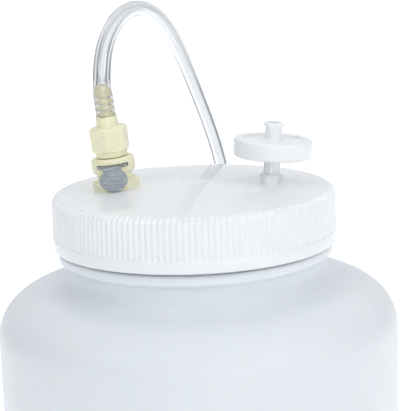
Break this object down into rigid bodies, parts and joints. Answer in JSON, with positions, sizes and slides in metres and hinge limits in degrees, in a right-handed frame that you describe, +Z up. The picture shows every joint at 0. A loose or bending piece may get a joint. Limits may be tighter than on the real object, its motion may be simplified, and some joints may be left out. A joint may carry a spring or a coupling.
{
  "type": "vented wide-mouth lab bottle with quick-disconnect cap",
  "caption": "Wide-mouth translucent plastic bottle; its ribbed screw cap carries a quick-disconnect hose coupling and a disc vent filter.",
  "frame": {"origin": "centre of the bottle's base, on the surface it stands on", "axes": "+Z up along the bottle's axis; the two cap fittings lie on X, coupling at -X and vent filter at +X; -Y is the side of the thumb latch"},
  "size_m": [0.156, 0.2694, 0.3195],
  "materials": {
    "natural_hdpe": "satin",
    "foam_liner": "matte",
    "white_pp": "satin",
    "ivory_plastic": "satin",
    "seal_rubber": "matte",
    "latch_steel": "brushed",
    "spring_steel": "drawn",
    "milky_pp": "satin",
    "filter_pp": "satin",
    "membrane": "matte",
    "clear_pvc": "gloss",
    "tie_strap": "matte"
  },
  "bodies": {
    "bottle": {"bottle": "natural_hdpe"},
    "gasket": {"cap_gasket": "foam_liner"},
    "cap": {"screw_cap": "white_pp", "coupling_body": "ivory_plastic", "coupling_washer": "seal_rubber", "coupling_nut": "ivory_plastic", "body_valve_spring": "spring_steel", "vent_port": "milky_pp", "vent_port_washer": "seal_rubber", "vent_port_nut": "milky_pp"},
    "latch": {"latch_plate": "latch_steel", "latch_spring": "spring_steel"},
    "body_valve": {"body_poppet": "ivory_plastic", "body_poppet_ring": "seal_rubber"},
    "insert": {"insert_body": "ivory_plastic", "insert_barb": "ivory_plastic", "insert_ring": "seal_rubber", "insert_valve_spring": "spring_steel", "hose": "clear_pvc", "hose_coil": "clear_pvc", "coil_tie": "tie_strap"},
    "insert_valve": {"insert_poppet": "ivory_plastic", "insert_poppet_ring": "seal_rubber"},
    "filter": {"filter_ring": "filter_pp", "filter_inlet": "filter_pp", "filter_outlet": "filter_pp", "filter_membrane": "membrane"}
  },
  "joints": [
    {"name": "cap_lift", "type": "slide", "parent": "bottle", "child": "gasket", "axis": [0, 0, 1], "range_m": [0, 0.00762]},
    {"name": "cap_turn", "type": "hinge", "parent": "gasket", "child": "cap", "pos_m": [0, 0, 0.24], "axis": [0, 0, 1], "range_deg": [0, 540]},
    {"name": "latch_press", "type": "slide", "parent": "cap", "child": "latch", "axis": [0, 1, 0], "range_m": [0, 0.0015], "stiffness_N_per_m": 1200, "springref_m": -0.002, "deforming": ["latch_spring"]},
    {"name": "body_valve_close", "type": "slide", "parent": "cap", "child": "body_valve", "axis": [-0.0976, 0, 0.9952], "range_m": [0, 0.0022], "deforming": ["body_valve_spring"]},
    {"name": "insert_pull", "type": "slide", "parent": "cap", "child": "insert", "axis": [-0.0976, 0, 0.9952], "range_m": [0, 0.02]},
    {"name": "insert_valve_close", "type": "slide", "parent": "insert", "child": "insert_valve", "axis": [-0.0976, 0, 0.9952], "range_m": [-0.0022, 0], "deforming": ["insert_valve_spring"]},
    {"name": "filter_pull", "type": "slide", "parent": "cap", "child": "filter", "axis": [0.0785, 0, 0.9969], "range_m": [0, 0.0085]}
  ],
  "couplings": [
    {"joint": "cap_lift", "follows": "cap_turn", "m_per_rad": 0.00080851},
    {"joint": "body_valve_close", "follows": "insert_pull", "ratio": 0.11},
    {"joint": "insert_valve_close", "follows": "insert_pull", "ratio": -0.11}
  ]
}
